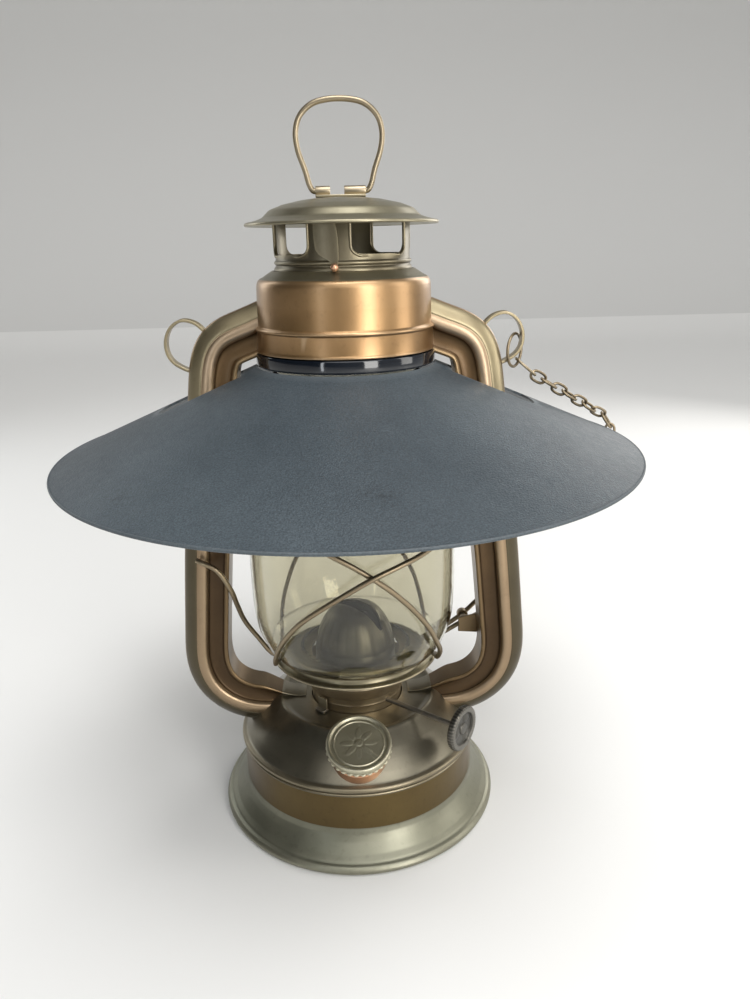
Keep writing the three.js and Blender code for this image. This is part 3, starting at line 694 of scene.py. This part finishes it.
GUARD_A = [
    (-35.6, -3.2, 68.7), (-35.9, -6.4, 70.4), (-35.4, -13, 72.4), (-34.6, -21, 77), (-33.4, -29.2, 84),
    (-30.6, -36.2, 93), (-22.4, -43.4, 105.8), (-13.6, -47.3, 113.8), (-2.4, -49.5, 121.6), (7, -49.4, 127),
    (18, -46, 130.8), (27.4, -41, 133.6), (37, -34, 138.5), (45.5, -24, 146), (51, -13.5, 154),
    (54, -10.2, 159),
]
GUARD_B = [
    (35.6, -3.2, 68.7), (36.1, -6.4, 70.4), (36, -13, 72.6), (36.2, -20.2, 78), (35.6, -27.6, 84.6),
    (33.6, -33.2, 91), (30, -37, 99.6), (22.9, -41.8, 110.5), (15, -44.8, 119.4), (7.1, -46.5, 126.3),
    (0, -47, 131.4), (-8, -46.9, 136.2), (-21, -43.5, 143), (-34, -35.6, 149), (-45, -24, 153.5),
    (-51.5, -13, 157.5), (-54, -10.2, 160),
]


def guards():
    """Crossed guard wires, front and rear, and the guide wire at the left."""
    for side, turn in (("front", False), ("rear", True)):
        for letter, points in (("a", GUARD_A), ("b", GUARD_B)):
            name = f"{side}_guard_{letter}"
            wire(f"{name}_wire", "globe_carrier", points, 2.2, turn=turn, replaces=[name])
    wire("guide_wire", "globe_carrier", [
        (-35.9, 0, 69), (-38.9, 0, 71), (-43.4, -0.6, 78), (-49, -2.4, 88), (-51.4, -6, 98), (-53, -9.8, 107),
        (-58, -11.4, 117), (-63.5, -11.2, 120.5), (-66.4, -9.8, 121.4),
    ], 2.2, replaces=["left_guide_wire"])


def lever():
    """Bent wire lever that lifts the globe, with its pin and bracket."""
    path = [
        (25.4, 13.2, 64.2), (32.6, 12.6, 64.4), (36.4, 12.6, 67.4), (52, 12.6, 77), (64, 12.4, 83.2),
        (68.6, 14.4, 85.8), (69.6, 18.6, 87.6), (67, 23.4, 88), (60, 22.2, 83.2), (52, 19.6, 77),
        (36.4, 17, 67.4), (32.6, 16.2, 64.4), (26.2, 15.2, 64.2),
    ]
    wire("lever_fork", "lift_lever", path, 2.2, closed=True, replaces=["lift_lever"])
    for name, y in (("lever_eye_near", 12.6), ("lever_eye_far", 19.6)):
        around = Matrix.Translation((52, y, 77)) @ UPRIGHT
        turned(name, "lift_lever", "brown", [(1.35, -1.6), (2.6, -1.6), (2.6, 1.6), (1.35, 1.6)], ["wire"],
               seg=32, place=around)
    pin = Matrix.Translation((52, 16.2, 77)) @ UPRIGHT
    turned("lever_pin_turned", "lamp_body", "steel", [(0, -6.3), (1.1, -6.3), (1.1, 6.2), (0, 6.2)],
           ["steel"],
           seg=32, place=pin, replaces=["lever_pin"])
    shape_block("lever_bracket_plate", "lamp_body", "bronze", "tube_edge",
                [(48.6, 73.4), (64, 72), (66, 80), (56, 82), (48.6, 80.6)], -9.5, -8.4, tilt=UPRIGHT,
                replaces=["lever_bracket"])


# ---- air tubes ----------------------------------------------------------------------------------
TUBE_PATH = [
    (29, 219.2), (42, 214), (46.2, 212.6), (49.4, 210.6), (51.6, 207.7), (53, 203.4), (54, 198),
    (54.9, 191), (58.4, 160), (63, 120), (65.9, 88), (66.9, 76), (66.8, 70), (65.7, 64.4), (63.6, 59.4),
    (60.4, 55.2), (56.4, 51.9), (51.6, 49.4), (46.4, 48), (40, 47.3), (23.5, 47.2),
]
# half section from the outer edge inward: (outward, sideways, zone of the strip that follows); the rib's zone
# paints a highlight and the recess's zone paints shade
TUBE_HALF = [
    (9.8, 2.2, 0), (9.75, 3.3, 0), (9.2, 4.3, 1), (8.0, 5.4, 1), (6.6, 6.35, 1), (5.2, 7.05, 1),
    (4.4, 7.35, 1), (3.9, 7.2, 2), (3.3, 7.6, 2), (2.4, 7.9, 2), (1.2, 8.0, 2), (0.2, 7.75, 2),
    (-0.6, 7.05, 2), (-1.0, 6.1, 3), (-1.7, 5.4, 3), (-3.4, 5.0, 3), (-5.4, 5.0, 3), (-7.2, 5.4, 3),
    (-8.1, 6.4, 0), (-9.0, 6.7, 0), (-9.8, 6.3, 0),
]
TUBE_FOOT = 46  # the tube starts to sink into the tank this far from the axis


def even(path, step, rounds):
    """The path again in equal steps, with its kinks eased."""
    reach = np.concatenate([[0], np.cumsum(np.linalg.norm(np.diff(path, axis=0), axis=1))])
    places = np.linspace(0, reach[-1], int(reach[-1] / step))
    path = np.stack([np.interp(places, reach, path[:, k]) for k in range(3)], axis=1)
    for _ in range(rounds):
        path[1:-1] = (path[:-2] + 2 * path[1:-1] + path[2:]) / 4
    return path


def air_tubes():
    """Pressed two-part tubes with a ribbed face and a recessed inner side; the left one is turned round."""
    far = [(u, -v, TUBE_HALF[i - 1][2] if i else 0) for i, (u, v, _) in enumerate(TUBE_HALF)][::-1]
    outline = TUBE_HALF + far
    zones = [z for _, _, z in outline]
    path = even(smooth_path([(x, 0, z) for x, z in TUBE_PATH], 8), 1.2, 14)

    def section(point):
        sink = min(1, max(0, (TUBE_FOOT - point[0]) / 20)) if point[2] < 60 else 0
        sink = sink * sink * (3 - 2 * sink)
        lift = min(1, max(0, (36.5 - point[0]) / 2.5)) if point[2] > 200 else 0  # clear of the raised globe
        inner = (1 - 0.62 * sink) * (1 - 0.4 * lift)
        return [(u * inner if u < 0 else u, v * (1 - 0.25 * sink)) for u, v, _ in outline]

    def zone(point, column):
        return 4 if point[2] < 60 and point[0] < TUBE_FOOT - 11 else zones[column]

    for name, turn in (("right_air_tube", False), ("left_air_tube", True)):
        made = swept(f"{name}_skin", "lamp_body", "bronze", section, path,
                     ["tube_edge", "tube_face", "tube_rib_painted_highlight", "recess", "slate"], side=(0, 1, 0), zone=zone,
                     turn=turn, sharp=50, replaces=[name])
        bevel(made, 0.3)


def ears():
    """Strip ears with rolled edges, where the chain and the guide end."""
    strip = [(-0.6, -2.4), (-0.6, 2.4), (0.3, 2.4), (0.6, 2.2), (0.6, 1.7), (0.3, 1.2), (0.3, -1.2),
             (0.6, -1.7),
             (0.6, -2.2), (0.3, -2.4)]
    path = smooth_path([(x, 0, z) for x, z in (
        (52.5, 210.5), (56.3, 216.4), (60, 219.6), (65, 220.6), (69.4, 218), (71.8, 213), (71.6, 207.8),
        (69.7, 204.4),
        (66.4, 202), (61, 199.6))], 6)
    for name, turn in (("right_ear", False), ("left_ear", True)):
        made = swept(f"{name}_strip", "lamp_body", "brown", strip, path, ["tube_face"], side=(0, 1, 0),
                     turn=turn,
                     replaces=[name])
        bevel(made, 0.3)


# ---- hood and shade -----------------------------------------------------------------------------
def hood():
    """Tall copper-toned hood and the gloss black ring under it."""
    turned("hood_shell", "lamp_body", "copper", [
        (34.6, 208.1), (35.7, 208.1), (35.75, 208.8), (35.4, 209.4), (35.35, 216.2), (35.8, 216.5),
        (36, 217.1), (35.7, 217.7), (34.95, 218.1), (34.6, 226), (34.45, 231), (34.35, 233.4),
        (33.95, 234.9), (33.1, 235.8), (31.8, 236.4), (27.9, 238.9), (27.7, 238.5), (27.7, 237.9),
        (31.8, 235.2), (33, 232.8), (34, 218),
    ], ["hood", "roof"], ease=0.4, zone=lambda r, z: 1 if r < 33 and z > 235.7 else 0, replaces=["hood"])
    turned("shade_ring", "lamp_body", "black", [
        (33.4, 202.7), (35.9, 202.7), (36.15, 203.4), (36.2, 205.2), (36.1, 207), (35.9, 207.7),
        (34.1, 207.7), (34.1, 210.5), (33.4, 210.5),
    ], ["black"], ease=0.3, replaces=["shade_collar"])


def shade():
    """Wide conical dish with a rolled rim, slotted for the air tubes."""
    drop = lambda r: 202.4 - SHADE_SLOPE * (r - 36)
    upper = [(r, drop(r)) for r in (118.4, 110, 95, 80, 65, 50, 40, 36)]
    lower = [(r, drop(r) - 1) for r in (36, 50, 80, 110, 117.6)]
    rim = [(118.4, 165.3), (118.9, 165.4), (119.1, 165.9), (119.1, 166.4), (118.8, 166.7)]
    made = turned("shade_cone", "lamp_body", "shade", lower + rim + upper, ["shade"], ease=0.5, seg=256,
                  replaces=["shade"])
    slot = [(42.3, -11), (71, -11), (75, -9.8), (76.8, -6), (77, 0), (76.8, 6), (75, 9.8), (71, 11),
            (42.3, 11)]
    cut(made, block(slot, 150, 212), block(slot, 150, 212, turn=180))


# ---- chimney and loop ---------------------------------------------------------------------------
WINDOW_Z = 244.6  # sill of the chimney windows
WALL = 26.3  # radius that the window lips follow round the chimney


def chimney():
    """Beaded wall with four windows, domed roof, seam lap and pull ball."""
    made = turned("chimney_wall", "chimney", "olive", [
        (25.4, 216), (26.4, 216), (26.5, 237.6), (27.1, 238.8), (26.9, 239.7), (26.3, 240.4), (26.2, 240.8),
        (26.7, 241.2), (26.9, 241.7), (26.7, 242.2), (26.2, 242.6), (26.2, 259.9), (25.4, 259.9),
    ], ["vent"], ease=0.3, replaces=["chimney"])
    stand = Matrix.Translation((0, 0, WINDOW_Z)) @ UPRIGHT
    corner = [(12.1 - 4 * (1 - math.sin(a)), 4 * (1 - math.cos(a))) for a in np.linspace(0, math.pi / 2, 7)]
    window = [(-x, z) for x, z in corner[::-1]] + corner + [(12.1, 12), (-12.1, 12)]
    cut(made, *[block(window, 15, 32, turn=34 + 90 * i, tilt=stand) for i in range(4)])
    lip = [(-12.7, 257)] + [(-x - 0.6 * (1 if z > 1 else 0.5), WINDOW_Z + z - 0.6) for x, z in corner[::-1]]
    lip += [(-x, z) for x, z in lip[::-1]]
    proud = WALL + 0.05
    for i in range(4):
        turn = math.radians(34 + 90 * i)
        path = [(proud * math.sin(turn + x / WALL), -proud * math.cos(turn + x / WALL), z) for x, z in lip]
        wire(f"window_lip_{i}", "chimney", path, 1.0, "vent", "olive", per_span=2)
    turned("chimney_roof", "chimney", "olive", [
        (0, 264.3), (12, 264), (20, 262.7), (27.4, 260.1), (30.2, 257.2), (36.4, 255.3), (36.9, 255),
        (37.5, 255.3), (37.6, 255.8), (37.3, 256.3), (36.6, 256.5), (33.4, 257.2), (30.9, 258.1),
        (30.3, 258.5), (28.3, 260.5), (27.4, 261.1), (23, 262.7), (16, 264.2), (10, 264.9), (0, 265.1),
    ], ["roof"], ease=0.5, replaces=["chimney_cap"])
    chimney_lap()
    out = Matrix.Translation((0, 0, 240.3)) @ Matrix.Rotation(math.radians(-5.9), 4, "Z") @ UPRIGHT
    turned("chimney_ball", "chimney", "steel", [
        (0, 27.2), (0.9, 27.2), (0.9, 28.6), (1.35, 29.1), (1.55, 29.9), (1.35, 30.7), (0.8, 31.3), (0, 31.5),
    ], ["copper"], ease=0.3, seg=32, place=out, replaces=["chimney_rivet"])


def chimney_lap():
    """Curved strip over the chimney's seam; each row is a height and the angles of its two edges."""
    rows = [(240.6, -7.5, -4.5), (241.6, -8.6, -3.9), (243.2, -13, -3.4), (244.6, -18.5, -3.2),
            (246.5, -21.6, -3.2),
            (250, -22.4, -3.4), (254, -22.6, -4.4), (258.4, -22.6, -7)]
    cols, verts = 12, []
    for reach in (26.5, 27.1):
        for z, left, right in rows:
            verts += [(reach * math.sin(math.radians(a)), -reach * math.cos(math.radians(a)), z)
                      for a in np.linspace(left, right, cols)]
    count = len(rows) * cols
    face = grid_faces(len(rows), cols, False, False)
    ring = list(range(cols)) + [i * cols + cols - 1 for i in range(1, len(rows))]
    ring += [count - 1 - j for j in range(1, cols)] + [i * cols for i in range(len(rows) - 2, 0, -1)]
    walls = [(a, b, b + count, a + count) for a, b in zip(ring, ring[1:] + ring[:1])]
    lap = piece("chimney_lap", "chimney", "olive", verts,
                face + [tuple(v + count for v in f) for f in face] + walls,
                ["vent"], replaces=["chimney_seam"])
    bevel(lap, 0.25)


def loop():
    """Wire loop that swings in two knuckles on the roof."""
    plate = [(-9.6, -3.6), (9.6, -3.6), (9.6, 3.6), (-9.6, 3.6)]
    shape_block("loop_plate", "chimney", "steel", "olive", plate, 265.2, 266.1, replaces=["loop_bracket"])
    along = Matrix.Translation((0, 0, 267.4)) @ Matrix.Rotation(math.radians(90), 4, "Y")
    for name, x0, x1 in (("loop_knuckle_left", -9.6, -4), ("loop_knuckle_right", 1.4, 9.6)):
        turned(name, "chimney", "steel", [(1.45, x0), (2, x0), (2, x1), (1.45, x1)], ["steel"], ease=0.15,
               seg=40,
               place=along)
    half = [(-4.6, 0, 267.4), (-8.6, 0, 267.4), (-10.4, 0, 267.7), (-11.6, 0, 269.4), (-13.2, 0, 275),
            (-15.6, 0, 282),
            (-16.2, 0, 288), (-14.6, 0, 293.4), (-10, 0, 297.6), (-4, 0, 299.2)]
    path = half + [(-x, y, z) for x, y, z in half[::-1]]
    wire("loop_wire", "lifting_loop", path, 2.2, "steel", "steel", per_span=6, replaces=["lifting_loop"])


# ---- chain --------------------------------------------------------------------------------------
CHAIN_SIDE = np.array([-0.47, 0.88, 0])


def chain_link(name, body, start, end, width, diameter, turn, mat):
    """Oval wire link from start to end, turned about its own length."""
    a, b = np.array(start, float), np.array(end, float)
    along = (b - a) / np.linalg.norm(b - a)
    side = CHAIN_SIDE - np.dot(CHAIN_SIDE, along) * along
    side /= np.linalg.norm(side)
    t = math.radians(turn)
    side = side * math.cos(t) + np.cross(along, side) * math.sin(t)
    ease = lambda v: math.copysign(abs(v) ** 0.8, v)
    half = np.linalg.norm(b - a) / 2
    corners = [(math.cos(math.pi * i / 4), math.sin(math.pi * i / 4)) for i in range(8)]
    points = [(a + b) / 2 + along * half * ease(c) + side * width * ease(s) for c, s in corners]
    wire(name + "_wire", body, points, diameter, mat, "brown", per_span=4, closed=True, replaces=[name])


def chain():
    """Ring in the right ear, a long link, then a straight run to the shade's rim and a hanging end."""
    turn, centre = math.radians(54), np.array([69.2, 0.7, 205.3])
    ring = [centre + 6.7 * np.array([math.cos(a) * math.cos(turn), math.cos(a) * math.sin(turn), math.sin(a)])
            for a in np.linspace(0, 2 * math.pi, 12, endpoint=False)]
    wire("chain_ring_wire", "chain", ring, 1.2, "wire", per_span=4, closed=True, replaces=["chain_ring"])
    chain_link("chain_long_link", "chain", (70.7, 3.6, 201.3), (79.1, 5.1, 194.1), 2.8, 1.2, 20, "steel")
    start, bend, rim = (np.array(p) for p in ((78.2, 4.6, 194.6), (115.7, 24.6, 172), (119.7, 25.4, 166.5)))

    def linked(name, body, a, b, turned_by):
        middle, reach = (a + b) / 2, (b - a) / np.linalg.norm(b - a) * 4.35
        chain_link(name, body, middle - reach, middle + reach, 2.1, 1.2, turned_by, "wire")

    for i in range(7):
        linked(f"chain_link_{i + 1}", "chain", start + (bend - start) * i / 7,
               start + (bend - start) * (i + 1) / 7,
               -75 + 95 * i)
    linked("chain_tail_1", "chain_tail", bend, rim, 45)
    for i in range(1, 5):
        drop = np.array([0, 0, 6.9])
        linked(f"chain_tail_{i + 1}", "chain_tail", rim - drop * (i - 1), rim - drop * i,
               -45 if i % 2 else 45)


def inner_parts():
    """CAD pieces whose own shape is right keep it, in a finished material."""
    finish = {"burner_base": "olive", "wick_tube": "soot", "wick_sprocket_inner": "tube_face",
              "wick_sprocket_outer": "tube_face", "cap_gasket": "black"}
    for name, mat in finish.items():
        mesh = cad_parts[name].data
        mesh.materials.clear()
        mesh.materials.append(MATERIALS[mat])


camera()
studio()
floor()
tank()
filler()
burner()
globe_plate()
globe()
guards()
lever()
air_tubes()
ears()
hood()
shade()
chimney()
loop()
chain()
inner_parts()

bpy.context.view_layer.update()
